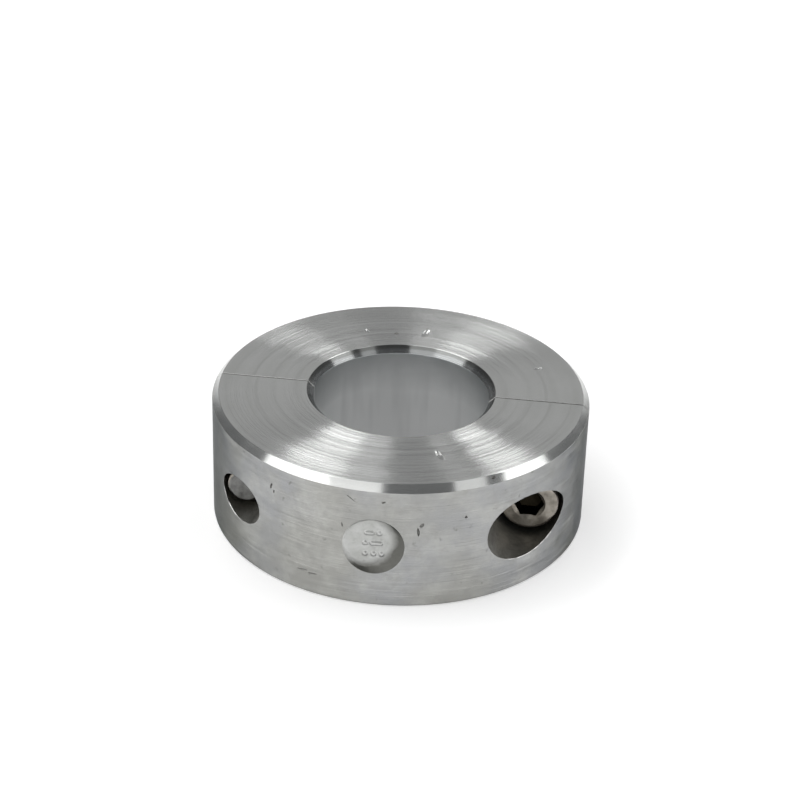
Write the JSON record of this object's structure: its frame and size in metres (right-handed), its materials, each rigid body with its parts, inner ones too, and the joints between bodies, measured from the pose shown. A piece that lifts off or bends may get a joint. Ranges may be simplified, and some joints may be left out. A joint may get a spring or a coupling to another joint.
{
  "type": "shaft collar",
  "caption": "Split clamp collar for a round shaft: half rings with turned faces, drawn together by opposed socket head screws in counterbored holes.",
  "frame": {"origin": "on the shaft axis, at the bottom face of the closed collar", "axes": "+Z along the shaft axis, towards the face with the wider outer chamfer; +Y square to the split plane, towards the rear half; the screws run along Y at +X and -X"},
  "size_m": [0.085, 0.085, 0.03],
  "materials": {
    "collar_metal": "turned top, bore and chamfers; satin, scuffed side",
    "screw_steel": "satin stainless steel, knurled head",
    "washer_steel": "satin spring steel",
    "insert_steel": "bright drawn wire"
  },
  "bodies": {
    "front_half": {"front_half": "collar_metal", "left_thread_insert": "insert_steel"},
    "rear_half": {"rear_half": "collar_metal", "right_thread_insert": "insert_steel"},
    "right_washer": {"right_spring_washer": "washer_steel"},
    "right_screw": {"right_clamp_screw": "screw_steel"},
    "left_washer": {"left_spring_washer": "washer_steel"},
    "left_screw": {"left_clamp_screw": "screw_steel"}
  },
  "joints": [
    {"name": "rear_half_parting", "type": "slide", "parent": "front_half", "child": "rear_half", "axis": [0, 1, 0], "range_m": [0, 0.045]},
    {"name": "right_screw_travel", "type": "slide", "parent": "front_half", "child": "right_washer", "axis": [0, -1, 0], "range_m": [0, 0.022]},
    {"name": "right_screw_turn", "type": "hinge", "parent": "right_washer", "child": "right_screw", "pos_m": [0.0312, 0, 0.015], "axis": [0, -1, 0], "range_deg": [0, 6336]},
    {"name": "left_screw_travel", "type": "slide", "parent": "rear_half", "child": "left_washer", "axis": [0, 1, 0], "range_m": [0, 0.022]},
    {"name": "left_screw_turn", "type": "hinge", "parent": "left_washer", "child": "left_screw", "pos_m": [-0.0312, 0, 0.015], "axis": [0, 1, 0], "range_deg": [0, 6336]}
  ],
  "couplings": [
    {"joint": "right_screw_turn", "follows": "right_screw_travel", "rad_per_m": 5026.5},
    {"joint": "left_screw_turn", "follows": "left_screw_travel", "rad_per_m": 5026.5}
  ]
}
